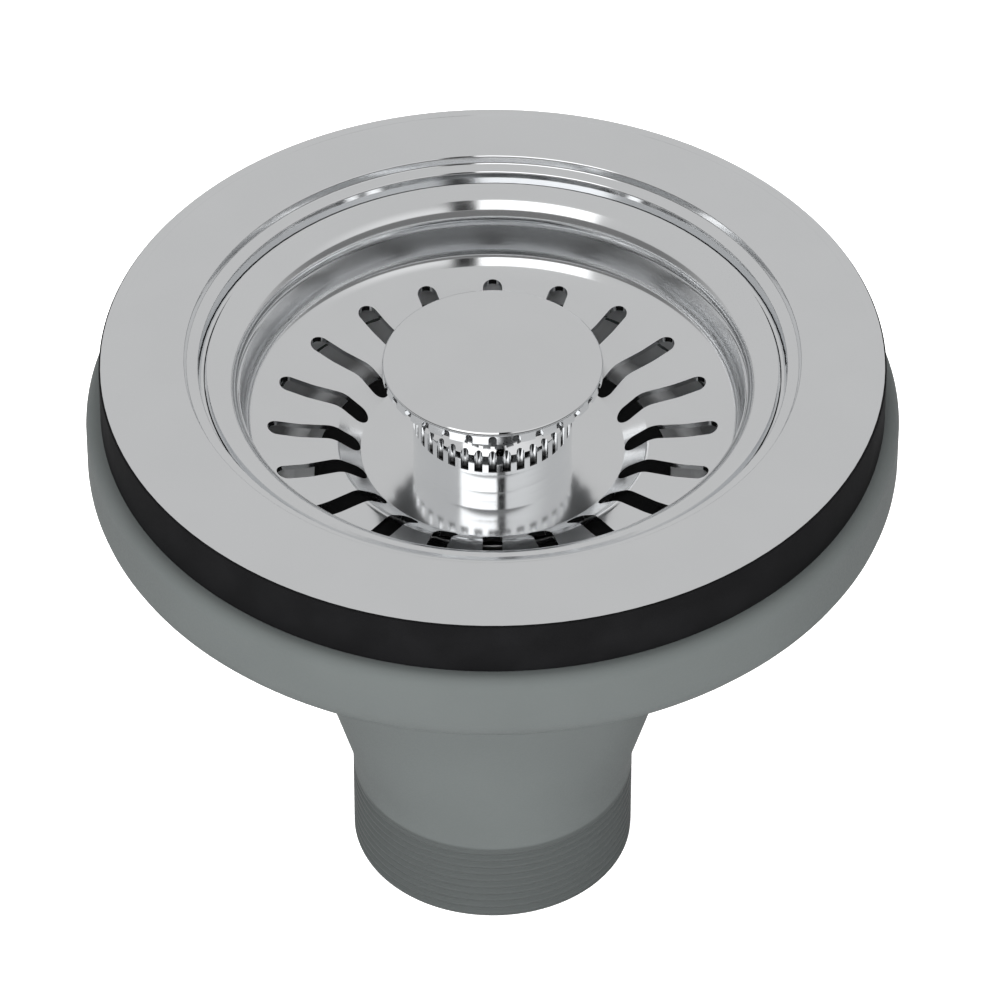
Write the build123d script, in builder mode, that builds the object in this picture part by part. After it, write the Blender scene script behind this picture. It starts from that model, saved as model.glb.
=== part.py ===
"""Basket strainer waste: flange and cup, lift-out basket plug, seal, body with threaded tail.

Millimetres, +Z up. The origin is the centre of the tail's end face, on the waste's axis.
Sections are drawn in the XZ plane, x being the radius, and revolved about the axis.
Depths are measured down from the flange's inner top edge, the highest place of the waste.
"""

import os
from math import cos, radians, tan

from build123d import *

os.makedirs("parts", exist_ok=True)

# Overall
overall_height = 94.2
flange_diameter = 113.0
body_diameter = 117.8
tail_diameter = 42.0
tail_bore_diameter = 35.0
front = -90

# Clearances
moving_gap = 0.3
clip_gap = 0.06
thread_gap = 0.05
seat_gap = 0.1
hole_gap = 0.4

# Flange and cup, pressed from one sheet
flange_sheet = 0.9
flange_fall = 1.0
flange_inner_radius = 44.5
flange_step_depth = 1.2
flange_step_draft = 0.4
ledge_inner_radius = 42.5
ledge_depth = 1.5
recess_wall_draft = 0.45
recess_radius = 41.55
recess_depth = 3.35
recess_ledge_fall = 0.1
recess_edge_fillet = 0.25
rim_seat_width = 2.15
cup_shoulder_radius = 38.2
cup_shoulder_depth = 13.5
cup_shoulder_fillet = 6.0
cup_corner_radius = 31.0
cup_corner_fillet = 3.5
seat_depth = 25.0
sump_top_radius = 21.5
sump_top_fillet = 1.3
sump_bottom_radius = 18.5
sump_bottom_fillet = 2.5
sump_depth = 41.5
flange_edge_fillet = 0.35
outlet_hole_diameter = 7.4
outlet_hole_count = 6
outlet_circle_radius = 11.8

# Sealing ring
seal_ring_proud = 0.2
seal_ring_clearance = 2.1
seal_ring_fillet = 0.4

# Body
body_rim_depth = 8.55
rim_wall = 3.0
rim_top_fillet = 1.8
dish_bottom_depth = 22.3
dish_floor = 3.0
dish_bottom_fillet = 4.5
inner_wall_radius = 46.0
inner_wall = 2.6
dish_rib_count = 16
dish_rib_thickness = 2.0
dish_rib_drop = 2.0
rib_root = 0.8
cone_top_radius = 38.1
cone_wall = 2.7
cone_fillet = 2.5
tail_length = 14.6
tail_chamfer_radial = 2.0
tail_chamfer_length = 1.6
boss_radius = 8.5
boss_drop = 1.0
boss_length = 17.0
spoke_count = 4
spoke_thickness = 3.0
spoke_drop = 1.5
spoke_height = 13.0
insert_radius = 6.0
insert_length = 15.0
insert_groove_depth = 0.6
insert_groove_width = 2.0
insert_groove_count = 2

# Basket, pressed from one sheet
basket_sheet = 0.8
basket_rim_depth = 3.5
basket_rim_fall = 0.15
basket_mouth_radius = 37.45
basket_mouth_fillet = 1.75
basket_wall_draft = 16.0
basket_corner_depth = 14.4
basket_corner_fillet = 3.8
basket_shelf_radius = 28.2
basket_shelf_fall = 1.55
basket_shelf_fillet = 12.0
basket_bend_radius = 23.5
basket_bend_fall = 0.15
basket_bend_fillet = 2.6
basket_floor_radius = 18.9
basket_floor_fall = 3.8
basket_floor_fillet = 1.2
slot_count = 20
slot_width = 2.85
slot_inner_radius = 19.3
slot_outer_radius = 32.7

# Knob
knob_top_depth = 1.5
knob_disc_radius = 15.95
knob_disc_height = 2.05
knob_edge_fillet = 0.6
notch_count = 29
notch_width = 1.2
notch_height = 1.5
notch_depth = 0.45
neck_radius = 7.6
neck_fillet = 1.4
flare_angle = 44.0
drum_radius = 11.5
drum_top_depth = 9.8
drum_height = 3.1
flute_count = 35
flute_radius = 0.6
flute_offset = 0.05
bead_height = 4.4
bead_bulge = 0.05
foot_radius = 11.38
foot_step = 0.17
foot_height = 1.9
base_radius = 10.5
stem_in_knob = 12.3
stem_hole_spare = 0.6

# Plug stem and what it holds
stem_diameter = 6.0
stem_chamfer = 0.6
stem_below_clip = 1.5
upper_plate_radius = 18.6
upper_plate_thickness = 1.2
upper_plate_fillet = 0.3
seal_radius = 26.0
seal_thickness = 2.4
seal_lip_width = 2.8
seal_edge_fillet = 0.8
retainer_radius = 18.0
retainer_thickness = 1.2
lock_washer_radius = 5.2
lock_washer_thickness = 1.1
lock_washer_split = 0.8
nut_across_flats = 10.0
nut_height = 3.2
nut_corner_turned = 0.35
clip_thickness = 1.0
clip_wall = 1.2
clip_proud = 0.6
clip_opening = 3.0
strain_lift = 6.0

# Centre screw
screw_head_across_flats = 12.0
screw_head_gap = 0.45
screw_diameter = 8.0
screw_shank_length = 21.5
screw_point_chamfer = 1.0
socket_spare = 0.6
socket_lead = 0.4
clip_groove_depth = 0.4
clip_groove_width = 1.4
clip_rest_drop = 7.2
head_washer_radius = 7.4
head_washer_thickness = 1.0

# Values that follow from the sizes above
flange_radius = flange_diameter / 2
body_radius = body_diameter / 2
tail_radius = tail_diameter / 2
tail_bore_radius = tail_bore_diameter / 2
seal_ring_radius = flange_radius + seal_ring_proud
seal_ring_inner_radius = flange_inner_radius + seal_ring_clearance
stem_radius = stem_diameter / 2
screw_radius = screw_diameter / 2
basket_rim_radius = recess_radius - moving_gap
rim_seat_depth = basket_rim_depth + basket_sheet + moving_gap
basket_wall_drop = basket_corner_depth - basket_rim_depth - basket_rim_fall
basket_corner_radius = basket_mouth_radius - basket_wall_drop * tan(radians(basket_wall_draft))
basket_bend_depth = basket_corner_depth + basket_shelf_fall + basket_bend_fall
basket_floor_depth = basket_bend_depth + basket_floor_fall
disc_bottom_depth = knob_top_depth + knob_disc_height
flare_top_depth = drum_top_depth - (drum_radius - neck_radius) / tan(radians(flare_angle))
drum_bottom_depth = drum_top_depth + drum_height
bead_bottom_depth = drum_bottom_depth + bead_height
foot_bottom_depth = bead_bottom_depth + foot_height
stem_top_depth = basket_floor_depth - stem_in_knob
upper_plate_depth = basket_floor_depth + basket_sheet
seal_top_depth = upper_plate_depth + upper_plate_thickness
retainer_depth = seal_top_depth + seal_thickness
lock_washer_depth = retainer_depth + retainer_thickness
nut_depth = lock_washer_depth + lock_washer_thickness
screw_head_top_depth = nut_depth + nut_height + screw_head_gap
clip_depth = screw_head_top_depth + clip_rest_drop
stem_end_depth = clip_depth + stem_below_clip
clip_outer_radius = stem_radius + clip_proud
clip_inner_radius = clip_outer_radius - clip_wall
socket_radius = clip_outer_radius + clip_gap
socket_floor_depth = stem_end_depth + socket_spare
screw_head_bottom_depth = sump_depth - head_washer_thickness
screw_end_depth = screw_head_bottom_depth + screw_shank_length
cone_bottom_depth = overall_height - tail_length
dish_floor_depth = dish_bottom_depth - dish_floor
boss_top_depth = sump_depth + flange_sheet + boss_drop
spoke_top_depth = boss_top_depth + spoke_drop
spoke_bottom_depth = spoke_top_depth + spoke_height


def level(depth):
    """Height above the tail's end of a place that lies this deep."""
    return overall_height - depth


def flange_underside(radius):
    """Depth of the flange's sloping underside at a radius."""
    slope = flange_fall / (flange_radius - flange_inner_radius)
    return slope * (radius - flange_inner_radius) + flange_sheet * (1 + slope**2) ** 0.5


def cone_inside(depth):
    """Inner radius of the body's cone, which runs from its wall's full width down to the tail's bore."""
    slope = (cone_top_radius - tail_radius) / (cone_bottom_depth - dish_bottom_depth)
    top = cone_top_radius + slope * dish_floor - cone_wall * (1 + slope**2) ** 0.5
    share = (depth - dish_floor_depth) / (cone_bottom_depth - dish_floor_depth)
    return top + share * (tail_bore_radius - top)


def corners(shape, *places):
    """The shape's vertices that lie at these places, each a radius and a height."""
    return [
        vertex
        for vertex in shape.vertices()
        for radius, height in places
        if abs(vertex.X - radius) < 1e-3 and abs(vertex.Y - height) < 1e-3
    ]


# Flange and cup
# The line is the sheet's visible face, from the rim to the hole for the centre screw
inner_edge = (flange_inner_radius, level(0))
step_foot = (flange_inner_radius - flange_step_draft, level(flange_step_depth))
ledge_end = (ledge_inner_radius, level(ledge_depth))
recess_foot = (ledge_inner_radius - recess_wall_draft, level(recess_depth))
recess_top = (recess_radius, level(recess_depth + recess_ledge_fall))
cup_shoulder = (cup_shoulder_radius, level(cup_shoulder_depth))
cup_corner = (cup_corner_radius, level(seat_depth))
sump_top = (sump_top_radius, level(seat_depth))
sump_corner = (sump_bottom_radius, level(sump_depth))
with BuildPart() as sink_flange:
    with BuildSketch(Plane.XZ):
        with BuildLine() as face_line:
            Polyline(
                (flange_radius, level(flange_fall)),
                inner_edge,
                step_foot,
                ledge_end,
                recess_foot,
                recess_top,
                (recess_radius, level(rim_seat_depth)),
                (recess_radius - rim_seat_width, level(rim_seat_depth)),
                cup_shoulder,
                cup_corner,
                sump_top,
                sump_corner,
                (screw_radius + hole_gap, level(sump_depth)),
            )
            fillet(corners(face_line, inner_edge, step_foot, ledge_end), flange_edge_fillet)
            fillet(corners(face_line, recess_top), recess_edge_fillet)
            fillet(corners(face_line, cup_shoulder), cup_shoulder_fillet)
            fillet(corners(face_line, cup_corner), cup_corner_fillet)
            fillet(corners(face_line, sump_top), sump_top_fillet)
            fillet(corners(face_line, sump_corner), sump_bottom_fillet)
            offset(amount=flange_sheet, side=Side.LEFT, kind=Kind.INTERSECTION)
        make_face()
    revolve(axis=Axis.Z)
    with Locations((0, 0, level(sump_depth))):
        with PolarLocations(outlet_circle_radius, outlet_hole_count):
            Hole(outlet_hole_diameter / 2, depth=2 * flange_sheet)

sink_flange.part.label = "sink_flange"
export_step(sink_flange.part, "parts/sink_flange.step")


# Sealing ring, its top lying along the flange's underside
with BuildPart() as sealing_ring:
    with BuildSketch(Plane.XZ):
        with BuildLine():
            Polyline(
                (seal_ring_inner_radius, level(flange_underside(seal_ring_inner_radius) + seat_gap)),
                (seal_ring_radius, level(flange_underside(seal_ring_radius) + seat_gap)),
                (seal_ring_radius, level(body_rim_depth)),
                (seal_ring_inner_radius, level(body_rim_depth)),
                close=True,
            )
        make_face()
    revolve(axis=Axis.Z)
    fillet(sealing_ring.edges().filter_by(GeomType.CIRCLE).group_by(SortBy.RADIUS)[-1], seal_ring_fillet)

sealing_ring.part.label = "sealing_ring"
export_step(sealing_ring.part, "parts/sealing_ring.step")


# Body: rim dish, cone, threaded tail and the spider that takes the centre screw
rim_corner = (body_radius, level(body_rim_depth))
dish_corner = (body_radius, level(dish_bottom_depth))
cone_corner = (cone_top_radius, level(dish_bottom_depth))
with BuildPart() as waste_body:
    with BuildSketch(Plane.XZ) as section:
        with BuildLine():
            Polyline(
                rim_corner,
                dish_corner,
                cone_corner,
                (tail_radius, level(cone_bottom_depth)),
                (tail_radius, tail_chamfer_length),
                (tail_radius - tail_chamfer_radial, 0),
                (tail_bore_radius, 0),
                (tail_bore_radius, level(cone_bottom_depth)),
                (cone_inside(dish_floor_depth), level(dish_floor_depth)),
                (inner_wall_radius, level(dish_floor_depth)),
                (inner_wall_radius, level(body_rim_depth)),
                (inner_wall_radius + inner_wall, level(body_rim_depth)),
                (inner_wall_radius + inner_wall, level(dish_floor_depth)),
                (body_radius - rim_wall, level(dish_floor_depth)),
                (body_radius - rim_wall, level(body_rim_depth)),
                close=True,
            )
        make_face()
        fillet(corners(section, rim_corner), rim_top_fillet)
        fillet(corners(section, dish_corner), dish_bottom_fillet)
        fillet(corners(section, cone_corner), cone_fillet)
    revolve(axis=Axis.Z)
    rib_height = dish_floor_depth - body_rim_depth - dish_rib_drop
    channel_middle = (body_radius - rim_wall + inner_wall_radius + inner_wall) / 2
    channel_width = body_radius - rim_wall - inner_wall_radius - inner_wall
    with Locations((0, 0, level(dish_floor_depth) - rib_root)):
        with PolarLocations(channel_middle, dish_rib_count):
            Box(
                channel_width + 2 * rib_root,
                dish_rib_thickness,
                rib_height + rib_root,
                align=(Align.CENTER, Align.CENTER, Align.MIN),
            )
    with BuildSketch(Plane.XY.offset(level(boss_top_depth))):
        Circle(boss_radius)
    extrude(amount=-boss_length)
    for spoke in range(spoke_count):
        with BuildSketch(Plane.XZ.rotated((0, 0, 360 / spoke_count * spoke))):
            with BuildLine():
                Polyline(
                    (boss_radius - rib_root, level(spoke_top_depth)),
                    (cone_inside(spoke_top_depth) + rib_root, level(spoke_top_depth)),
                    (cone_inside(spoke_bottom_depth) + rib_root, level(spoke_bottom_depth)),
                    (boss_radius - rib_root, level(spoke_bottom_depth)),
                    close=True,
                )
            make_face()
        extrude(amount=spoke_thickness / 2, both=True)
    with Locations((0, 0, level(boss_top_depth))):
        CounterBoreHole(screw_radius + hole_gap, insert_radius, insert_length, depth=boss_length)

waste_body.part.label = "waste_body"
export_step(waste_body.part, "parts/waste_body.step")


# Brass insert in the boss of the spider
with BuildPart() as threaded_insert:
    with BuildSketch(Plane.XY.offset(level(boss_top_depth))):
        Circle(insert_radius)
        Circle(screw_radius + thread_gap, mode=Mode.SUBTRACT)
    extrude(amount=-insert_length)
    groove_pitch = insert_length / (insert_groove_count + 1)
    for groove in range(1, insert_groove_count + 1):
        with BuildSketch(Plane.XY.offset(level(boss_top_depth + groove * groove_pitch))):
            Circle(insert_radius)
            Circle(insert_radius - insert_groove_depth, mode=Mode.SUBTRACT)
        extrude(amount=insert_groove_width / 2, both=True, mode=Mode.SUBTRACT)

threaded_insert.part.label = "threaded_insert"
export_step(threaded_insert.part, "parts/threaded_insert.step")


# Centre screw: hexagon head with the clip's socket and its two grooves, and a plain shank
with BuildPart() as centre_screw:
    with BuildSketch(Plane.XY.offset(level(screw_head_bottom_depth))):
        RegularPolygon(screw_head_across_flats / 2, 6, major_radius=False)
    extrude(amount=screw_head_bottom_depth - screw_head_top_depth)
    with BuildSketch(Plane.XY.offset(level(screw_head_bottom_depth))):
        Circle(screw_radius)
    extrude(amount=-(screw_end_depth - screw_head_bottom_depth))
    chamfer(centre_screw.faces().sort_by(Axis.Z)[0].edges(), screw_point_chamfer)
    with Locations((0, 0, level(screw_head_top_depth))):
        Hole(socket_radius, depth=socket_floor_depth - screw_head_top_depth)
    chamfer(centre_screw.faces().sort_by(Axis.Z)[-1].edges().filter_by(GeomType.CIRCLE), socket_lead)
    for depth in (clip_depth, clip_depth - strain_lift):
        with BuildSketch(Plane.XY.offset(level(depth))):
            Circle(socket_radius + clip_groove_depth)
        extrude(amount=clip_groove_width / 2, both=True, mode=Mode.SUBTRACT)

centre_screw.part.label = "centre_screw"
export_step(centre_screw.part, "parts/centre_screw.step")


# Washer below the head of the centre screw
with BuildPart() as head_washer:
    with BuildSketch(Plane.XY.offset(level(sump_depth))):
        Circle(head_washer_radius)
        Circle(screw_radius + hole_gap, mode=Mode.SUBTRACT)
    extrude(amount=head_washer_thickness)

head_washer.part.label = "head_washer"
export_step(head_washer.part, "parts/head_washer.step")


# Basket: one pressing, then the slots are punched over its bend
rim_inner = (basket_mouth_radius, level(basket_rim_depth + basket_rim_fall))
wall_foot = (basket_corner_radius, level(basket_corner_depth))
shelf_end = (basket_shelf_radius, level(basket_corner_depth + basket_shelf_fall))
bend = (basket_bend_radius, level(basket_bend_depth))
floor_edge = (basket_floor_radius, level(basket_floor_depth))
with BuildPart() as basket:
    with BuildSketch(Plane.XZ):
        with BuildLine() as face_line:
            Polyline(
                (basket_rim_radius, level(basket_rim_depth)),
                rim_inner,
                wall_foot,
                shelf_end,
                bend,
                floor_edge,
                (stem_radius + hole_gap, level(basket_floor_depth)),
            )
            fillet(corners(face_line, rim_inner), basket_mouth_fillet)
            fillet(corners(face_line, wall_foot), basket_corner_fillet)
            fillet(corners(face_line, shelf_end), basket_shelf_fillet)
            fillet(corners(face_line, bend), basket_bend_fillet)
            fillet(corners(face_line, floor_edge), basket_floor_fillet)
            offset(amount=basket_sheet, side=Side.LEFT, kind=Kind.INTERSECTION)
        make_face()
    revolve(axis=Axis.Z)
    with BuildSketch(Plane.XY.offset(level(basket_rim_depth))):
        with PolarLocations((slot_inner_radius + slot_outer_radius) / 2, slot_count):
            SlotOverall(slot_outer_radius - slot_inner_radius, slot_width)
    extrude(amount=-(basket_floor_depth + 2 * basket_sheet - basket_rim_depth), mode=Mode.SUBTRACT)

basket.part.label = "basket"
export_step(basket.part, "parts/basket.step")


# Knob: notched disc, flared neck cut by vertical flutes, bead, foot and a narrower base
flare_top = (neck_radius, level(flare_top_depth))
disc_underside = (neck_radius, level(disc_bottom_depth))
with BuildPart() as knob:
    with BuildSketch(Plane.XZ) as section:
        with BuildLine():
            Polyline(
                (drum_radius, level(drum_bottom_depth)),
                (drum_radius, level(drum_top_depth)),
                flare_top,
                disc_underside,
                (knob_disc_radius, level(disc_bottom_depth)),
                (knob_disc_radius, level(knob_top_depth)),
                (0, level(knob_top_depth)),
                (0, level(basket_floor_depth)),
                (base_radius, level(basket_floor_depth)),
                (base_radius, level(foot_bottom_depth)),
                (foot_radius, level(foot_bottom_depth)),
                (foot_radius, level(bead_bottom_depth)),
                (foot_radius - foot_step, level(bead_bottom_depth)),
            )
            ThreePointArc(
                (foot_radius - foot_step, level(bead_bottom_depth)),
                (drum_radius + bead_bulge, level((drum_bottom_depth + bead_bottom_depth) / 2)),
                (drum_radius, level(drum_bottom_depth)),
            )
        make_face()
        fillet(corners(section, flare_top), neck_fillet)
        fillet(corners(section, disc_underside), neck_fillet)
    revolve(axis=Axis.Z)
    fillet(knob.edges().group_by(Axis.Z)[-1], knob_edge_fillet)
    with BuildSketch(Plane.XY.offset(level(drum_bottom_depth))):
        with PolarLocations(drum_radius + flute_offset, flute_count, start_angle=front):
            Circle(flute_radius)
    extrude(amount=drum_bottom_depth - flare_top_depth + flute_radius, mode=Mode.SUBTRACT)
    with Locations((0, 0, level(disc_bottom_depth))):
        with PolarLocations(knob_disc_radius, notch_count, start_angle=front):
            Box(2 * notch_depth, notch_width, 2 * (notch_height - notch_width / 2), mode=Mode.SUBTRACT)
    with Locations((0, 0, level(disc_bottom_depth - notch_height + notch_width / 2))):
        with PolarLocations(knob_disc_radius, notch_count, start_angle=front):
            Cylinder(notch_width / 2, 2 * notch_depth, rotation=(0, 90, 0), mode=Mode.SUBTRACT)
    with BuildSketch(Plane.XY.offset(level(basket_floor_depth))):
        Circle(stem_radius + thread_gap)
    extrude(amount=basket_floor_depth - stem_top_depth + stem_hole_spare, mode=Mode.SUBTRACT)

knob.part.label = "knob"
export_step(knob.part, "parts/knob.step")


# Stem that holds the plug together, with the clip's groove near its end
with BuildPart() as plug_stem:
    with BuildSketch(Plane.XY.offset(level(stem_end_depth))):
        Circle(stem_radius)
    extrude(amount=stem_end_depth - stem_top_depth)
    chamfer(plug_stem.edges().group_by(Axis.Z)[0], stem_chamfer)
    with BuildSketch(Plane.XY.offset(level(clip_depth))):
        Circle(stem_radius)
        Circle(clip_inner_radius - thread_gap, mode=Mode.SUBTRACT)
    extrude(amount=clip_thickness / 2 + thread_gap, both=True, mode=Mode.SUBTRACT)

plug_stem.part.label = "plug_stem"
export_step(plug_stem.part, "parts/plug_stem.step")


# Plate between the basket's floor and the seal
with BuildPart() as upper_plate:
    with BuildSketch(Plane.XY.offset(level(upper_plate_depth))):
        Circle(upper_plate_radius)
        Circle(stem_radius + hole_gap, mode=Mode.SUBTRACT)
    extrude(amount=-upper_plate_thickness)
    outer_edges = upper_plate.edges().filter_by(GeomType.CIRCLE).group_by(SortBy.RADIUS)[-1]
    fillet(outer_edges, upper_plate_fillet)

upper_plate.part.label = "upper_plate"
export_step(upper_plate.part, "parts/upper_plate.step")


# Rubber seal: a disc with a lip that meets the cup's flat seat
with BuildPart() as basket_seal:
    with BuildSketch(Plane.XY.offset(level(seal_top_depth))):
        Circle(seal_radius)
        Circle(stem_radius + thread_gap, mode=Mode.SUBTRACT)
    extrude(amount=-(seat_depth - seat_gap - seal_top_depth))
    with BuildSketch(Plane.XY.offset(level(seal_top_depth + seal_thickness))):
        Circle(seal_radius - seal_lip_width)
        Circle(stem_radius + thread_gap, mode=Mode.SUBTRACT)
    extrude(amount=-seal_thickness, mode=Mode.SUBTRACT)
    outer_edges = basket_seal.edges().filter_by(GeomType.CIRCLE).group_by(SortBy.RADIUS)[-1]
    fillet(outer_edges.sort_by(Axis.Z)[-1], seal_edge_fillet)

basket_seal.part.label = "basket_seal"
export_step(basket_seal.part, "parts/basket_seal.step")


# Plate below the seal
with BuildPart() as seal_retainer:
    with BuildSketch(Plane.XY.offset(level(retainer_depth))):
        Circle(retainer_radius)
        Circle(stem_radius + hole_gap, mode=Mode.SUBTRACT)
    extrude(amount=-retainer_thickness)

seal_retainer.part.label = "seal_retainer"
export_step(seal_retainer.part, "parts/seal_retainer.step")


# Split washer below the plate
with BuildPart() as lock_washer:
    with BuildSketch(Plane.XY.offset(level(lock_washer_depth))):
        Circle(lock_washer_radius)
        Circle(stem_radius + 2 * thread_gap, mode=Mode.SUBTRACT)
        with Locations((lock_washer_radius, 0)):
            Rectangle(2 * (lock_washer_radius - clip_inner_radius), lock_washer_split, mode=Mode.SUBTRACT)
    extrude(amount=-lock_washer_thickness)

lock_washer.part.label = "lock_washer"
export_step(lock_washer.part, "parts/lock_washer.step")


# Nut that closes the stack, its corners turned off at both faces
with BuildPart() as stem_nut:
    with BuildSketch(Plane.XY.offset(level(nut_depth))):
        RegularPolygon(nut_across_flats / 2, 6, major_radius=False)
        Circle(stem_radius + thread_gap, mode=Mode.SUBTRACT)
    extrude(amount=-nut_height)
    with BuildSketch(Plane.XY.offset(level(nut_depth))):
        Circle(nut_across_flats / 2 / cos(radians(30)) - nut_corner_turned)
    extrude(amount=-nut_height, mode=Mode.INTERSECT)

stem_nut.part.label = "stem_nut"
export_step(stem_nut.part, "parts/stem_nut.step")


# Open spring ring in the stem's groove
with BuildPart() as snap_clip:
    with BuildSketch(Plane.XY.offset(level(clip_depth))):
        Circle(clip_outer_radius)
        Circle(clip_inner_radius, mode=Mode.SUBTRACT)
        with Locations((clip_outer_radius, 0)):
            Rectangle(2 * (clip_outer_radius - clip_inner_radius) + clip_opening / 2, clip_opening,
                      mode=Mode.SUBTRACT)
    extrude(amount=clip_thickness / 2, both=True)

snap_clip.part.label = "snap_clip"
export_step(snap_clip.part, "parts/snap_clip.step")
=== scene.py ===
"""Looks of the basket strainer waste: polished pressings, rubber ring, grey body with a fine thread.

The sizes are millimetres, and mm() turns them into the metres of the part's frame. A height is measured
from the tail's end face, and a depth from the top of the flange.
"""
import math

import bmesh
import bpy
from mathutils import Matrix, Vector


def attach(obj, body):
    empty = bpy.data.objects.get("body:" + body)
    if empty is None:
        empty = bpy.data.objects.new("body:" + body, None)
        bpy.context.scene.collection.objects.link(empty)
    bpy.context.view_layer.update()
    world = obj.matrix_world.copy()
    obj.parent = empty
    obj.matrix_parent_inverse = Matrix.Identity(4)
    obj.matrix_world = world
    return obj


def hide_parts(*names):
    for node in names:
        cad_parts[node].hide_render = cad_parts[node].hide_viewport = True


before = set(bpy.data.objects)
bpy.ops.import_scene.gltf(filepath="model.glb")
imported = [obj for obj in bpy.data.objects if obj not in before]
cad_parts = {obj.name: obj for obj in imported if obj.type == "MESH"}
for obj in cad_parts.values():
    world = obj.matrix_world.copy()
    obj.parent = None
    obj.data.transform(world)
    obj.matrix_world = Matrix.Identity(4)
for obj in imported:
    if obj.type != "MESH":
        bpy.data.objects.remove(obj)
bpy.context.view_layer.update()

# Height of the flange's top
TOP = 94.2

# Camera, as solved from the ellipses of the flange, basket and knob
CAMERA_DISTANCE = 1108.7
CAMERA_ELEVATION = 41.05
CAMERA_PITCH = 42.15
FOCAL_LENGTH_PX = 7700.0
PICTURE_HEIGHT_PX = 1001.0
PICTURE_WIDTH_PX = 1000.0
AXIS_COLUMN_PX = 492.6
SENSOR = 36.0
NEAREST_METRES = 0.1
FARTHEST_METRES = 50

# Body: rim, dish and inner wall
BODY_RADIUS = 58.9
RIM_DEPTH = 9.62
RIM_WALL = 3.0
DISH_BOTTOM_DEPTH = 22.3
DISH_FLOOR = 3.0
INNER_WALL_RADIUS = 46.0
INNER_WALL = 2.6

# Body: cone and tail
CONE_TOP_RADIUS = 36.4
CONE_FOOT_HEIGHT = 17.4
CONE_WALL = 2.7
TAIL_RADIUS = 21.0
BORE_RADIUS = 17.5
TAIL_EDGE_HEIGHT = 0.3
TAIL_EDGE_IN = 0.5

# Body: thread, cut into rows of the mesh that are finer than its pitch
THREAD_PITCH = 1.38
THREAD_DEPTH = 0.3
THREAD_TOP = 14.1
THREAD_TOP_FADE = 0.8
THREAD_BOTTOM = 0.5
THREAD_BOTTOM_FADE = 0.5
THREAD_ROWS_TOP = 14.55
ROWS_IN_PITCH = 12
GROOVE_POWER = 1.5

# Body: spider with its boss, and ribs of the dish
BOSS_RADIUS = 8.5
BOSS_TOP_DEPTH = 43.4
BOSS_LENGTH = 17.0
INSERT_RADIUS = 6.0
INSERT_LENGTH = 15.0
SCREW_HOLE_RADIUS = 4.4
SPOKE_COUNT = 4
SPOKE_TOP_DEPTH = 44.9
SPOKE_HEIGHT = 13.0
SPOKE_THICKNESS = 3.0
RIB_COUNT = 16
RIB_THICKNESS = 2.0
RIB_DROP = 2.0
ROOT = 0.8

# Body: radii that round its edges
RIM_ROUNDING = 1.8
DISH_ROUNDING = 4.5
CONE_TOP_ROUNDING = 2.5
TAIL_END_ROUNDING = 0.1
BORE_ROUNDING = 0.2
WALL_TOP_ROUNDING = 0.3
WALL_FOOT_ROUNDING = 0.6
BOSS_ROUNDING = 0.3
INSERT_ROUNDING = 0.2

# Basket: corners of the pressed face, each with its radius, its depth and the radius that rounds it
BASKET_SHEET = 0.8
BASKET_FACE = {
    "lip_edge": (41.5, 3.35, 0),
    "lip": (40.4, 3.8, 0.8),
    "mouth": (37.3, 4.4, 3.0),
    "wall_foot": (37.3, 12.81, 4.2),
    "shelf_outside": (32.5, 15.05, 10.0),
    "shelf_inside": (28.2, 15.8, 12.0),
    "bend": (23.5, 16.05, 2.6),
    "floor_edge": (19.4, 19.2, 1.2),
    "stem_hole": (3.4, 19.2, 0),
}
SLOT_COUNT = 20
SLOT_WIDTH = 2.85
SLOT_INNER_RADIUS = 19.2
SLOT_OUTER_RADIUS = 32.7
SLOT_CUTTER_DEPTHS = (10.0, 24.0)
SLOT_END_STEPS = 16

# Rubber ring, which also covers the flange's edge: radius, depth and rounding of each corner
RING_FACE = {
    "inner_top": (46.6, 1.25, 0),
    "lip_root": (56.3, 2.3, 0),
    "lip_inside": (56.42, 2.3, 0),
    "lip_top": (56.42, 1.22, 0),
    "lip_outside": (56.75, 1.27, 0.12),
    "outer_bottom": (56.75, 9.6, 0.25),
    "inner_bottom": (46.6, 9.6, 0.3),
}

# Rolled edge of the flange, in the same terms
EDGE_FACE = {
    "inner_top": (55.0, 0.86, 0),
    "rolled_top": (56.6, 0.99, 0.8),
    "outer_bottom": (56.6, 2.2, 0),
    "inner_bottom": (55.0, 2.0, 0),
}

# Ring round the knob's foot, in the same terms
FOOT_FACE = {
    "top": (11.53, 12.88, 0),
    "upper_belly": (11.57, 14.55, 40.0),
    "lower_belly": (11.56, 16.2, 0),
    "groove": (11.51, 16.7, 0.5),
    "below_groove": (11.54, 17.3, 0),
    "foot": (11.49, 19.25, 0),
    "foot_inside": (11.4, 19.25, 0),
    "top_inside": (11.4, 12.88, 0),
}

# Steps of turned pieces, and the angle from which an edge is sharp
TURNED_STEPS = 240
BOSS_STEPS = 64
FOOT_STEPS = 180
LARGE_RING_STEPS = 360
SHARP_DEGREES = 32

# Steps of the arc that rounds a corner, and the distance below which two radii are the same
BODY_ARC_STEPS = 8
BOSS_ARC_STEPS = 3
SHEET_ARC_STEPS = 20
RING_ARC_STEPS = 6
SAME = 0.01

# Spans of a noise texture's values that a ramp runs over
NOISE_SPAN = (0.3, 0.7)
MIDDLE_SPAN = (0.35, 0.65)
UPPER_SPAN = (0.35, 0.75)

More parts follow.
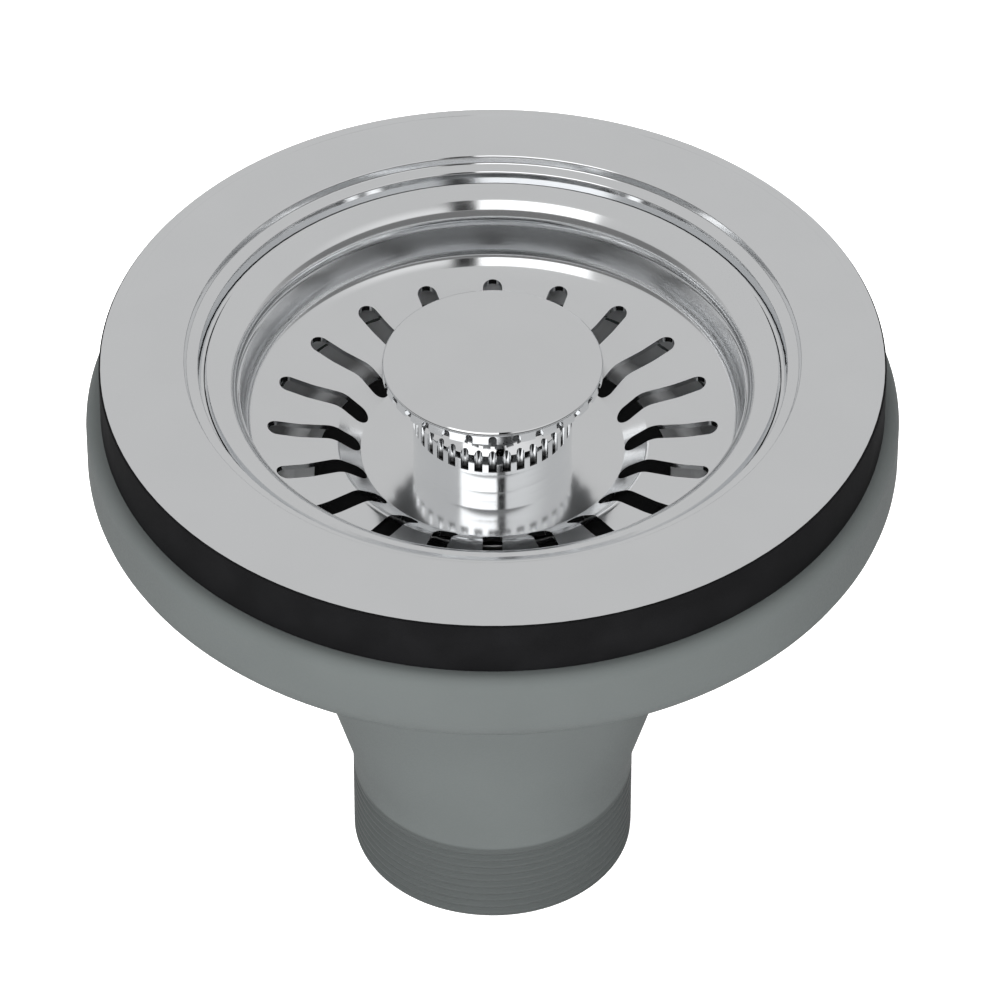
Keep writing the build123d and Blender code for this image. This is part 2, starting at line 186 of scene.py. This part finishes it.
# Colours
POLISHED = (0.85, 0.86, 0.87)
# Dark colour of the painted shade on the knob and on the basket's floor round it
PAINTED_SHADE_COLOUR = (0.07, 0.07, 0.07)
RING_BLACK = (0.0048, 0.0048, 0.0052)
SEAL_BLACK = (0.010, 0.010, 0.0105)
BODY_GREY = (0.078, 0.086, 0.085)
ZINC = (0.62, 0.62, 0.62)
STAINLESS = (0.62, 0.61, 0.6)
PLATE = (0.64, 0.64, 0.64)
BRASS = (0.72, 0.52, 0.22)
PAPER = ((0.94, 0.94, 0.94), (0.95, 0.95, 0.95))

# How far the finishes vary over their noise. Tints and the bloom multiply the colour, and the roughness of
# lines, clouds and brushed metal multiplies the finish's own. The others are the roughness itself.
POLISH_TINT = 0.985
LINE_ROUGHNESS = 1.2
CLOUD_ROUGHNESS = 0.1
BRUSHED_TINT = 0.85
BRUSHED_ROUGHNESS = (0.8, 1.25)
RUBBER_BLOOM = 1.35
RUBBER_ROUGHNESS = (0.62, 0.75)
RUBBER_SHEEN = 0.08
PLASTIC_TINT = 1.05
PLASTIC_ROUGHNESS = (0.46, 0.52)
GRAIN_ROUGHNESS = 0.08
PLASTIC_SHEEN = 0.25
PAPER_ROUGHNESS = 0.9

# Polish: roughness of each pressing and of the knob, with the bands that are left satin. A band is given by
# its upper and its lower depth and its roughness.
FLANGE_GLOSS = 0.07
FLANGE_SATIN = [(6.0, TOP, 0.42)]
BASKET_GLOSS = 0.10
BASKET_SATIN = [(6.6, 11.5, 0.3), (18.6, 21.0, 0.17)]
KNOB_GLOSS = 0.05
SATIN_BLEND = 0.5
# Roughness where shade is painted
PAINTED_SHADE_ROUGHNESS = 0.35

# Painted shade: a dark colour put under the knob's disc, in the lower halves of its flutes and on the
# basket's floor close round the knob's foot. Each pair is where the shade begins and where it is complete.
# Painted shade under the knob's disc and in its flutes
UNDERSIDE_FACING = (-0.35, -0.75)
UNDERSIDE_SHADE_SHARE = 0.75
FLUTE_RADII = (11.42, 11.15)
FLUTE_END_DEPTHS = (12.97, 12.95)
FLUTE_SHADE_DEPTHS = (11.0, 12.1)
# Painted contact shadow on the basket's floor round the knob's foot
CONTACT_SHADOW_RADII = (15.8, 12.2)
CONTACT_SHADOW_SHARE = 0.97
CONTACT_SHADOW_DEPTHS = (18.4, 18.9)

# Painted shade that darkens the threaded part of the tail: factor of the colour, and height of its fade
THREAD_SHADE = 0.68
THREAD_SHADE_FADE = 0.6

# Studio, as the photo's chrome shows it. A place in it is given by the chrome that mirrors it to the
# camera: the degrees that the chrome's normal is turned from the camera's side, and its rise. Each pair is
# the two degrees between which an edge fades.
PANEL_LEFT = (-25.0, -22.0)
PANEL_RIGHT = (3.2, 3.4)
PANEL_FOOT = (40.1, 40.5)
PANEL_HEAD = (61.3, 62.7)
FLAG_RIGHT = (8.1, 10.6)
CORNER_RIGHT = (20.0, 50.0)
CORNER_FOOT = (39.3, 40.8)
CORNER_HEAD = (42.0, 60.0)
LOW_SIDES = (40.0, 75.0)
LOW_HEAD = (39.3, 40.3)
ROOM_LIGHT = 0.58
LOW_LIGHT = 0.19
CORNER_LIGHT = 0.82
PANEL_LIGHT = 1.55
FLAG_LIGHT = 0.0

# Soft lamps that the chrome doesn't show: name, strength, width, tilt from straight down, turn
LAMPS = [("top_light", 1.5, 90.0, 0.0, 0.0), ("front_light", 4.5, 40.0, 72.0, -8.0)]
FLOOR_GLOW = 0.75
FLOOR_HALF_METRES = 6.0


def mm(value):
    """Metres from millimetres."""
    return value / 1000


def level(depth):
    """Height of a place this deep below the flange's top, in millimetres."""
    return TOP - depth


def levels(depths):
    """Heights of these depths, in metres."""
    return [mm(level(depth)) for depth in depths]


class Shader:
    """A node tree with one line for each node."""

    def __init__(self, tree):
        self.tree = tree
        tree.nodes.clear()

    def give(self, node, inputs):
        """Links each input that is a socket, and sets each that is a value."""
        for name, value in dict(inputs).items():
            if isinstance(value, bpy.types.NodeSocket):
                self.tree.links.new(value, node.inputs[name])
            else:
                node.inputs[name].default_value = value

    def add(self, kind, inputs=(), **settings):
        node = self.tree.nodes.new(kind)
        for name, value in settings.items():
            setattr(node, name, value)
        self.give(node, inputs)
        return node

    def maths(self, operation, first, second=0.0):
        return self.add("ShaderNodeMath", {0: first, 1: second}, operation=operation).outputs[0]

    def ramp(self, value, low, high, to_low=0.0, to_high=1.0):
        node = self.add(
            "ShaderNodeMapRange",
            {"Value": value, "From Min": low, "From Max": high, "To Min": to_low, "To Max": to_high},
            interpolation_type="SMOOTHSTEP",
        )
        return node.outputs["Result"]

    def between(self, value, rising, falling):
        """1 between the two edges and 0 outside. Each edge is the two values between which it fades."""
        return self.maths("MULTIPLY", self.ramp(value, *rising), self.ramp(value, *falling, 1.0, 0.0))

    def mixed(self, share, first, second):
        """A value between the two, the second where the share is 1."""
        return self.add("ShaderNodeMix", {0: share, 2: first, 3: second}, data_type="FLOAT").outputs[0]

    def mixed_colour(self, share, first, second):
        """A colour between the two, the second where the share is 1."""
        node = self.add("ShaderNodeMix", {0: share}, data_type="RGBA")
        for index, colour in ((6, first), (7, second)):
            opaque = (*colour, 1) if isinstance(colour, tuple) else colour
            self.give(node, {index: opaque})
        return node.outputs[2]

    def noise(self, vector, scale, detail):
        inputs = {"Vector": vector, "Scale": scale, "Detail": detail, "Roughness": 0.5}
        return self.add("ShaderNodeTexNoise", inputs).outputs["Fac"]

    def bump(self, height, distance):
        inputs = {"Height": height, "Distance": mm(distance), "Strength": 1.0}
        return self.add("ShaderNodeBump", inputs).outputs["Normal"]

    def place(self):
        return self.add("ShaderNodeTexCoord").outputs["Object"]

    def split(self, vector):
        """The vector's three parts."""
        return self.add("ShaderNodeSeparateXYZ", {"Vector": vector}).outputs

    def radius(self, x, y):
        """Distance from the axis."""
        return self.maths("SQRT", self.maths("ADD", self.maths("POWER", x, 2), self.maths("POWER", y, 2)))

    def turned(self, around):
        """Coordinates along a turned or polished surface: radius, a little of the angle, height."""
        x, y, z = self.split(self.place())
        angle = self.maths("MULTIPLY", self.maths("ARCTAN2", y, x), mm(around))
        return self.add("ShaderNodeCombineXYZ", {"X": self.radius(x, y), "Y": angle, "Z": z}).outputs[0]

    def surface(self, inputs):
        """Ends the tree with a surface of these inputs."""
        principled = self.add("ShaderNodeBsdfPrincipled", inputs)
        self.add("ShaderNodeOutputMaterial", {"Surface": principled.outputs[0]})


def new_material(name):
    made = bpy.data.materials.new(name)
    made.use_nodes = True
    return made, Shader(made.node_tree)


def times(parts, factor):
    return tuple(part * factor for part in parts)


def polished_metal(name, gloss, satin=(), painted_shade=None):
    """Polished steel or plated metal with fine polishing lines round the axis.

    satin lists the bands that are left satin. The last argument is a function that gives the share of the
    surface that takes painted shade: a darker colour and a rougher finish where shade falls.
    """
    made, tree = new_material(name)
    lines = tree.noise(tree.turned(around=0.02), scale=9000, detail=3.0)
    cloud = tree.noise(tree.place(), scale=90, detail=2.0)
    line_roughness = tree.ramp(lines, *NOISE_SPAN, gloss, gloss * LINE_ROUGHNESS)
    cloud_roughness = tree.ramp(cloud, *MIDDLE_SPAN, 0.0, gloss * CLOUD_ROUGHNESS)
    roughness = tree.maths("ADD", line_roughness, cloud_roughness)
    height = tree.split(tree.place())[2]
    for upper, lower, band_roughness in satin:
        rising = levels((lower + SATIN_BLEND, lower - SATIN_BLEND))
        falling = levels((upper + SATIN_BLEND, upper - SATIN_BLEND))
        roughness = tree.mixed(tree.between(height, rising, falling), roughness, band_roughness)
    colour = tree.mixed_colour(tree.ramp(cloud, *NOISE_SPAN), POLISHED, times(POLISHED, POLISH_TINT))
    # Painted shade: a dark colour and a rougher finish where the share says that shade falls
    if painted_shade is not None:
        share = painted_shade(tree)
        colour = tree.mixed_colour(share, colour, PAINTED_SHADE_COLOUR)
        roughness = tree.mixed(share, roughness, PAINTED_SHADE_ROUGHNESS)
    tree.surface({
        "Base Color": colour,
        "Metallic": 1.0,
        "Roughness": roughness,
        "Normal": tree.bump(lines, distance=0.00002),
    })
    return made


def knob_painted_shade(tree):
    """Share of painted shade on the knob: its underside and the lower halves of its flutes."""
    x, y, z = tree.split(tree.place())
    facing = tree.split(tree.add("ShaderNodeNewGeometry").outputs["Normal"])[2]
    none, whole = UNDERSIDE_FACING
    under = tree.ramp(facing, whole, none, UNDERSIDE_SHADE_SHARE, 0.0)
    none, whole = FLUTE_RADII
    inside = tree.ramp(tree.radius(x, y), mm(whole), mm(none), 1.0, 0.0)
    flutes = tree.between(z, levels(FLUTE_END_DEPTHS), levels(reversed(FLUTE_SHADE_DEPTHS)))
    return tree.maths("MAXIMUM", under, tree.maths("MULTIPLY", inside, flutes))


def basket_painted_shadow(tree):
    """Share of painted contact shadow on the floor close round the knob's foot."""
    x, y, z = tree.split(tree.place())
    none, whole = CONTACT_SHADOW_RADII
    near = tree.ramp(tree.radius(x, y), mm(whole), mm(none), CONTACT_SHADOW_SHARE, 0.0)
    return tree.maths("MULTIPLY", near, tree.ramp(z, *levels(reversed(CONTACT_SHADOW_DEPTHS)), 1.0, 0.0))


def brushed_metal(name, colour, roughness):
    """Plain turned or zinc plated steel and brass, with marks of the tool round the axis."""
    made, tree = new_material(name)
    lines = tree.noise(tree.turned(around=0.5), scale=6000, detail=4.0)
    cloud = tree.noise(tree.place(), scale=300, detail=3.0)
    tree.surface({
        "Base Color": tree.mixed_colour(cloud, colour, times(colour, BRUSHED_TINT)),
        "Metallic": 1.0,
        "Roughness": tree.ramp(lines, *NOISE_SPAN, *times(BRUSHED_ROUGHNESS, roughness)),
        "Normal": tree.bump(lines, distance=0.004),
    })
    return made


def rubber(name, colour):
    """Black rubber: matt, with a fine grain and a slightly paler bloom."""
    made, tree = new_material(name)
    grain = tree.noise(tree.place(), scale=5000, detail=3.0)
    bloom = tree.noise(tree.place(), scale=130, detail=4.0)
    tree.surface({
        "Base Color": tree.mixed_colour(tree.ramp(bloom, *UPPER_SPAN), colour, times(colour, RUBBER_BLOOM)),
        "Roughness": tree.ramp(bloom, *NOISE_SPAN, *RUBBER_ROUGHNESS),
        "Specular IOR Level": RUBBER_SHEEN,
        "Normal": tree.bump(grain, distance=0.02),
    })
    return made


def moulded_plastic(name, colour):
    """Grey polypropylene: satin, with the fine eroded texture of the mould, faint flow clouds, and painted
    shade that darkens the thread.
    """
    made, tree = new_material(name)
    grain = tree.noise(tree.place(), scale=3200, detail=3.0)
    clouds = tree.noise(tree.place(), scale=60, detail=3.0)
    tint = tree.mixed_colour(tree.ramp(clouds, *NOISE_SPAN), colour, times(colour, PLASTIC_TINT))
    cloud_roughness = tree.ramp(clouds, *NOISE_SPAN, *PLASTIC_ROUGHNESS)
    grain_roughness = tree.ramp(grain, *NOISE_SPAN, 0.0, GRAIN_ROUGHNESS)
    height = tree.split(tree.place())[2]
    # Painted shade: the threaded part of the tail takes a darker colour, fading out above the thread
    painted_thread_shade = tree.ramp(height, mm(THREAD_TOP), mm(THREAD_TOP + THREAD_SHADE_FADE), 1.0, 0.0)
    tree.surface({
        "Base Color": tree.mixed_colour(painted_thread_shade, tint, times(colour, THREAD_SHADE)),
        "Roughness": tree.maths("ADD", cloud_roughness, grain_roughness),
        "Specular IOR Level": PLASTIC_SHEEN,
        "Normal": tree.bump(grain, distance=0.012),
    })
    return made


def rounded(points, radii, steps):
    """The closed outline through these points, each corner rounded by its radius."""
    line = []
    count = len(points)
    for index, (point, radius) in enumerate(zip(points, radii)):
        here = Vector(point)
        if not radius:
            line.append(here)
            continue
        back = (Vector(points[index - 1]) - here).normalized()
        ahead = (Vector(points[(index + 1) % count]) - here).normalized()
        half = back.angle(ahead) / 2
        middle = here + (back + ahead).normalized() * (radius / math.sin(half))
        start = here + back * (radius / math.tan(half)) - middle
        end = here + ahead * (radius / math.tan(half)) - middle
        turn = start.angle_signed(end)
        for step in range(steps + 1):
            angle = -turn * step / steps
            line.append(middle + Vector((
                start.x * math.cos(angle) - start.y * math.sin(angle),
                start.x * math.sin(angle) + start.y * math.cos(angle),
            )))
    return line


def outline(face, steps):
    """The rounded outline of a face whose corners are given by radius, depth and rounding."""
    corners = face.values()
    points = [(radius, level(depth)) for radius, depth, _ in corners]
    return rounded(points, [rounding for _, _, rounding in corners], steps)


def pressed(face, thickness):
    """The closed outline of a sheet whose visible face runs through these corners."""
    front_face = outline(face, SHEET_ARC_STEPS)
    back_face = []
    last = len(front_face) - 1
    for index, here in enumerate(front_face):
        before = front_face[max(index - 1, 0)]
        after = front_face[min(index + 1, last)]
        along = (after - before).normalized()
        back_face.append(here + Vector((along.y, -along.x)) * thickness)
    return front_face + back_face[::-1]


def round_point(radius, angle, height):
    """A place in metres from its radius and height in millimetres."""
    return Vector((mm(radius) * math.cos(angle), mm(radius) * math.sin(angle), mm(height)))


def lathe(mesh, line, segments, shape=None):
    """Adds the closed outline turned about Z. shape(radius, height, angle) may move the radius."""
    rings = []
    for step in range(segments):
        angle = 2 * math.pi * step / segments
        ring = []
        for radius, height in line:
            if shape:
                radius = shape(radius, height, angle)
            ring.append(mesh.verts.new(round_point(radius, angle, height)))
        rings.append(ring)
    for step, ring in enumerate(rings):
        following = rings[(step + 1) % segments]
        for index in range(len(line)):
            after = (index + 1) % len(line)
            mesh.faces.new((ring[index], following[index], following[after], ring[after]))


def bridge(mesh, first, second):
    """Closes the body between two outlines of the same number of vertices."""
    mesh.faces.new(first)
    mesh.faces.new(reversed(second))
    for index in range(len(first)):
        after = (index + 1) % len(first)
        mesh.faces.new((first[after], first[index], second[index], second[after]))


def prism(mesh, corners, angle, thickness):
    """Adds a flat plate that stands out from the axis at this angle. Its corners are radius and height."""
    across = Vector((-math.sin(angle), math.cos(angle), 0)) * mm(thickness / 2)
    sides = []
    for sign in (-1, 1):
        sides.append([
            mesh.verts.new(round_point(radius, angle, height) + across * sign)
            for radius, height in corners
        ])
    bridge(mesh, *sides)


def piece(name, mesh, material):
    """An object from the bmesh, smooth but for its sharp edges."""
    bmesh.ops.recalc_face_normals(mesh, faces=mesh.faces)
    for edge in mesh.edges:
        if edge.is_manifold and edge.calc_face_angle() > math.radians(SHARP_DEGREES):
            edge.smooth = False
    for face in mesh.faces:
        face.smooth = True
    data = bpy.data.meshes.new(name)
    mesh.to_mesh(data)
    mesh.free()
    made = bpy.data.objects.new(name, data)
    bpy.context.scene.collection.objects.link(made)
    data.materials.append(material)
    return made


def cone_inside(depth):
    """Inner radius of the cone's wall at this depth."""
    dish_floor_depth = DISH_BOTTOM_DEPTH - DISH_FLOOR
    bottom_depth = TOP - CONE_FOOT_HEIGHT
    slope = (CONE_TOP_RADIUS - TAIL_RADIUS) / (bottom_depth - DISH_BOTTOM_DEPTH)
    top = CONE_TOP_RADIUS + slope * DISH_FLOOR - CONE_WALL * math.hypot(1, slope)
    share = (depth - dish_floor_depth) / (bottom_depth - dish_floor_depth)
    return top + share * (BORE_RADIUS - top)


def thread(radius, height, angle):
    """Cuts the fine thread into the tail's outside, with a groove that fades out at both its ends."""
    on_tail = radius > TAIL_RADIUS - SAME and 0 < height < THREAD_TOP
    if not on_tail:
        return radius
    turn = (height / THREAD_PITCH - angle / (2 * math.pi)) % 1
    groove = (0.5 - 0.5 * math.cos(2 * math.pi * turn)) ** GROOVE_POWER
    fade_above = (THREAD_TOP - height) / THREAD_TOP_FADE
    fade_below = max(0.0, (height - THREAD_BOTTOM) / THREAD_BOTTOM_FADE + 1)
    return radius - THREAD_DEPTH * groove * min(1.0, fade_above, fade_below)


def body_outline():
    """The turned outline of the body: down its outside, up its bore and cone, and round its two walls."""
    dish_bottom = level(DISH_BOTTOM_DEPTH)
    dish_floor = level(DISH_BOTTOM_DEPTH - DISH_FLOOR)
    rim_top = level(RIM_DEPTH)
    run = THREAD_ROWS_TOP - TAIL_EDGE_HEIGHT
    rows = int(run / THREAD_PITCH * ROWS_IN_PITCH)
    corners = [
        (BODY_RADIUS, rim_top, RIM_ROUNDING),
        (BODY_RADIUS, dish_bottom, DISH_ROUNDING),
        (CONE_TOP_RADIUS, dish_bottom, CONE_TOP_ROUNDING),
        (TAIL_RADIUS, CONE_FOOT_HEIGHT, 0),
        *((TAIL_RADIUS, TAIL_EDGE_HEIGHT + run * row / rows, 0) for row in range(rows, -1, -1)),
        (TAIL_RADIUS - TAIL_EDGE_IN, 0, TAIL_END_ROUNDING),
        (BORE_RADIUS, 0, BORE_ROUNDING),
        (BORE_RADIUS, CONE_FOOT_HEIGHT, 0),
        (cone_inside(DISH_BOTTOM_DEPTH - DISH_FLOOR), dish_floor, 0),
        (INNER_WALL_RADIUS, dish_floor, WALL_FOOT_ROUNDING),
        (INNER_WALL_RADIUS, rim_top, WALL_TOP_ROUNDING),
        (INNER_WALL_RADIUS + INNER_WALL, rim_top, WALL_TOP_ROUNDING),
        (INNER_WALL_RADIUS + INNER_WALL, dish_floor, WALL_FOOT_ROUNDING),
        (BODY_RADIUS - RIM_WALL, dish_floor, WALL_FOOT_ROUNDING),
        (BODY_RADIUS - RIM_WALL, rim_top, WALL_TOP_ROUNDING),
    ]
    points = [(radius, height) for radius, height, _ in corners]
    return rounded(points, [rounding for _, _, rounding in corners], BODY_ARC_STEPS)


def add_boss(mesh):
    """Adds the spider's boss, with the pocket of the insert and the hole of the screw."""
    top = level(BOSS_TOP_DEPTH)
    pocket_bottom = top - INSERT_LENGTH
    bottom = top - BOSS_LENGTH
    corners = [
        (BOSS_RADIUS, top), (BOSS_RADIUS, bottom), (SCREW_HOLE_RADIUS, bottom),
        (SCREW_HOLE_RADIUS, pocket_bottom), (INSERT_RADIUS, pocket_bottom), (INSERT_RADIUS, top),
    ]
    roundings = [BOSS_ROUNDING, BOSS_ROUNDING, 0, 0, 0, INSERT_ROUNDING]
    lathe(mesh, rounded(corners, roundings, BOSS_ARC_STEPS), BOSS_STEPS)


def add_spokes(mesh):
    """Adds the spider's spokes, from the boss to the inside of the cone."""
    bottom_depth = SPOKE_TOP_DEPTH + SPOKE_HEIGHT
    corners = [
        (BOSS_RADIUS - ROOT, level(SPOKE_TOP_DEPTH)),
        (cone_inside(SPOKE_TOP_DEPTH) + ROOT, level(SPOKE_TOP_DEPTH)),
        (cone_inside(bottom_depth) + ROOT, level(bottom_depth)),
        (BOSS_RADIUS - ROOT, level(bottom_depth)),
    ]
    for spoke in range(SPOKE_COUNT):
        prism(mesh, corners, 2 * math.pi * spoke / SPOKE_COUNT, SPOKE_THICKNESS)


def add_ribs(mesh):
    """Adds the ribs between the inner wall and the rim's wall, down into the dish's floor."""
    inside = INNER_WALL_RADIUS + INNER_WALL - ROOT
    outside = BODY_RADIUS - RIM_WALL + ROOT
    top = level(RIM_DEPTH + RIB_DROP)
    bottom = level(DISH_BOTTOM_DEPTH - DISH_FLOOR) - ROOT
    corners = [(inside, top), (outside, top), (outside, bottom), (inside, bottom)]
    for rib in range(RIB_COUNT):
        prism(mesh, corners, 2 * math.pi * rib / RIB_COUNT, RIB_THICKNESS)


def build_body(material):
    mesh = bmesh.new()
    lathe(mesh, body_outline(), TURNED_STEPS, thread)
    add_boss(mesh)
    add_spokes(mesh)
    add_ribs(mesh)
    made = piece("body_moulding", mesh, material)
    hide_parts("waste_body")
    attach(made, "waste")


def cut(target, cutter):
    """Takes the cutter's shape out of the target's mesh, and returns the result as a bmesh."""
    modifier = target.modifiers.new("cut", "BOOLEAN")
    modifier.operation = "DIFFERENCE"
    modifier.solver = "EXACT"
    modifier.object = cutter
    bpy.context.view_layer.update()
    shown = target.evaluated_get(bpy.context.evaluated_depsgraph_get())
    mesh = bmesh.new()
    mesh.from_mesh(shown.to_mesh())
    shown.to_mesh_clear()
    for used in (target, cutter):
        data = used.data
        bpy.data.objects.remove(used)
        bpy.data.meshes.remove(data)
    return mesh


def slot_outline():
    """A slot along X with round ends, in millimetres."""
    half = SLOT_WIDTH / 2
    ends = ((SLOT_INNER_RADIUS + half, 90), (SLOT_OUTER_RADIUS - half, -90))
    line = []
    for middle, first in ends:
        for step in range(SLOT_END_STEPS + 1):
            angle = math.radians(first + 180 * step / SLOT_END_STEPS)
            line.append((middle + half * math.cos(angle), half * math.sin(angle)))
    return line


def slot_cutters():
    """Upright bodies in the places of the slots."""
    mesh = bmesh.new()
    line = slot_outline()
    for slot in range(SLOT_COUNT):
        turn = 2 * math.pi * slot / SLOT_COUNT
        rings = []
        for height in levels(SLOT_CUTTER_DEPTHS):
            rings.append([
                mesh.verts.new((
                    mm(x * math.cos(turn) - y * math.sin(turn)),
                    mm(x * math.sin(turn) + y * math.cos(turn)),
                    height,
                ))
                for x, y in line
            ])
        bridge(mesh, *rings)
    return mesh


def build_basket(material):
    sheet = bmesh.new()
    lathe(sheet, pressed(BASKET_FACE, BASKET_SHEET), TURNED_STEPS)
    slotted = cut(piece("pressing", sheet, material), piece("slots", slot_cutters(), material))
    made = piece("basket_form", slotted, material)
    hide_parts("basket")
    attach(made, "plug")


def build_ring(name, face, steps, material, body):
    """A turned ring of this face, on a body and in a material slot of the part."""
    mesh = bmesh.new()
    lathe(mesh, outline(face, RING_ARC_STEPS), steps)
    made = piece(name, mesh, material)
    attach(made, body)
    return made


def dress(material, *nodes):
    """Gives CAD nodes their material."""
    for node in nodes:
        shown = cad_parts[node]
        shown.data.materials.clear()
        shown.data.materials.append(material)


def build_world():
    """Soft grey studio: a wide bright panel high at the left of the camera, a black flag right of it."""
    world = bpy.data.worlds.new("studio")
    bpy.context.scene.world = world
    world.use_nodes = True
    tree = Shader(world.node_tree)
    direction = tree.add("ShaderNodeTexCoord").outputs["Generated"]
    elevation = math.radians(CAMERA_ELEVATION)
    view = (0.0, -math.cos(elevation), math.sin(elevation))
    between = tree.add("ShaderNodeVectorMath", {0: direction, 1: view}, operation="ADD").outputs[0]
    normal = tree.add("ShaderNodeVectorMath", {0: between}, operation="NORMALIZE").outputs[0]
    x, y, z = tree.split(normal)
    turn = tree.maths("DEGREES", tree.maths("ARCTAN2", x, tree.maths("MULTIPLY", y, -1.0)))
    rise = tree.maths("DEGREES", tree.maths("ARCSINE", z))
    high = tree.between(rise, PANEL_FOOT, PANEL_HEAD)
    panel = tree.maths("MULTIPLY", tree.between(turn, PANEL_LEFT, PANEL_RIGHT), high)
    flag = tree.maths("MULTIPLY", tree.between(turn, PANEL_RIGHT, FLAG_RIGHT), high)
    corner_side = tree.between(turn, FLAG_RIGHT, CORNER_RIGHT)
    corner = tree.maths("MULTIPLY", corner_side, tree.between(rise, CORNER_FOOT, CORNER_HEAD))
    front_side = tree.ramp(tree.maths("ABSOLUTE", turn), *LOW_SIDES, 1.0, 0.0)
    low = tree.maths("MULTIPLY", front_side, tree.ramp(rise, *LOW_HEAD, 1.0, 0.0))
    light = tree.mixed(low, ROOM_LIGHT, LOW_LIGHT)
    light = tree.mixed(corner, light, CORNER_LIGHT)
    light = tree.mixed(panel, light, PANEL_LIGHT)
    light = tree.mixed(flag, light, FLAG_LIGHT)
    background = tree.add("ShaderNodeBackground", {"Strength": light, "Color": (1.0, 1.0, 1.0, 1)})
    tree.add("ShaderNodeOutputWorld", {"Surface": background.outputs[0]})


def build_floor():
    """A plain pale floor that glows a little, so that no shadow shows on it."""
    made, tree = new_material("floor_paper")
    paper = tree.noise(tree.place(), scale=40, detail=2.0)
    tint = tree.mixed_colour(tree.ramp(paper, *NOISE_SPAN), *PAPER)
    tree.surface({
        "Base Color": tint,
        "Roughness": PAPER_ROUGHNESS,
        "Emission Color": tint,
        "Emission Strength": FLOOR_GLOW,
    })
    mesh = bmesh.new()
    bmesh.ops.create_grid(mesh, x_segments=1, y_segments=1, size=FLOOR_HALF_METRES)
    floor = piece("floor", mesh, made)
    floor.visible_glossy = False


def build_lamps():
    for name, energy, width, tilt, side in LAMPS:
        lamp = bpy.data.lights.new(name, "SUN")
        lamp.energy = energy
        lamp.angle = math.radians(width)
        made = bpy.data.objects.new(name, lamp)
        made.rotation_euler = (math.radians(tilt), 0, math.radians(side))
        made.visible_glossy = False
        bpy.context.scene.collection.objects.link(made)


def build_camera():
    data = bpy.data.cameras.new("camera")
    data.sensor_width = SENSOR
    data.lens = FOCAL_LENGTH_PX * SENSOR / PICTURE_HEIGHT_PX
    data.shift_x = (PICTURE_WIDTH_PX / 2 - AXIS_COLUMN_PX) / PICTURE_HEIGHT_PX
    data.clip_start = NEAREST_METRES
    data.clip_end = FARTHEST_METRES
    camera = bpy.data.objects.new("camera", data)
    bpy.context.scene.collection.objects.link(camera)
    elevation = math.radians(CAMERA_ELEVATION)
    camera.location = (
        0,
        -mm(CAMERA_DISTANCE) * math.cos(elevation),
        mm(TOP) + mm(CAMERA_DISTANCE) * math.sin(elevation),
    )
    camera.rotation_euler = (math.radians(90 - CAMERA_PITCH), 0, 0)
    bpy.context.scene.camera = camera


build_camera()
build_world()
build_floor()
build_lamps()
bpy.context.scene.view_settings.view_transform = "Standard"

# Materials, each on the CAD nodes that are seen as they are
flange_steel = polished_metal("flange_steel", FLANGE_GLOSS, FLANGE_SATIN)
# The basket's steel has a painted contact shadow round the knob's foot
basket_steel = polished_metal("basket_steel", BASKET_GLOSS, BASKET_SATIN, basket_painted_shadow)
# The knob's chrome has painted shade under its disc and in its flutes' lower halves
chrome = polished_metal("knob_chrome", KNOB_GLOSS, painted_shade=knob_painted_shade)
ring_rubber = rubber("ring_rubber", RING_BLACK)
grey_plastic = moulded_plastic("body_plastic", BODY_GREY)
dress(flange_steel, "sink_flange")
dress(chrome, "knob")
dress(rubber("seal_rubber", SEAL_BLACK), "basket_seal")
dress(brushed_metal("screw_steel", ZINC, roughness=0.32), "centre_screw", "head_washer")
stem_steel = brushed_metal("stem_steel", STAINLESS, roughness=0.28)
dress(stem_steel, "plug_stem", "lock_washer", "stem_nut", "snap_clip")
dress(brushed_metal("plate_steel", PLATE, roughness=0.3), "upper_plate", "seal_retainer")
dress(brushed_metal("insert_brass", BRASS, roughness=0.3), "threaded_insert")

# Pieces that stand for CAD nodes or finish them
build_body(grey_plastic)
build_basket(basket_steel)
build_ring("knob_foot", FOOT_FACE, FOOT_STEPS, chrome, "plug")
build_ring("flange_edge", EDGE_FACE, LARGE_RING_STEPS, flange_steel, "waste")
ring = build_ring("ring_form", RING_FACE, LARGE_RING_STEPS, ring_rubber, "waste")
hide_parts("sealing_ring")
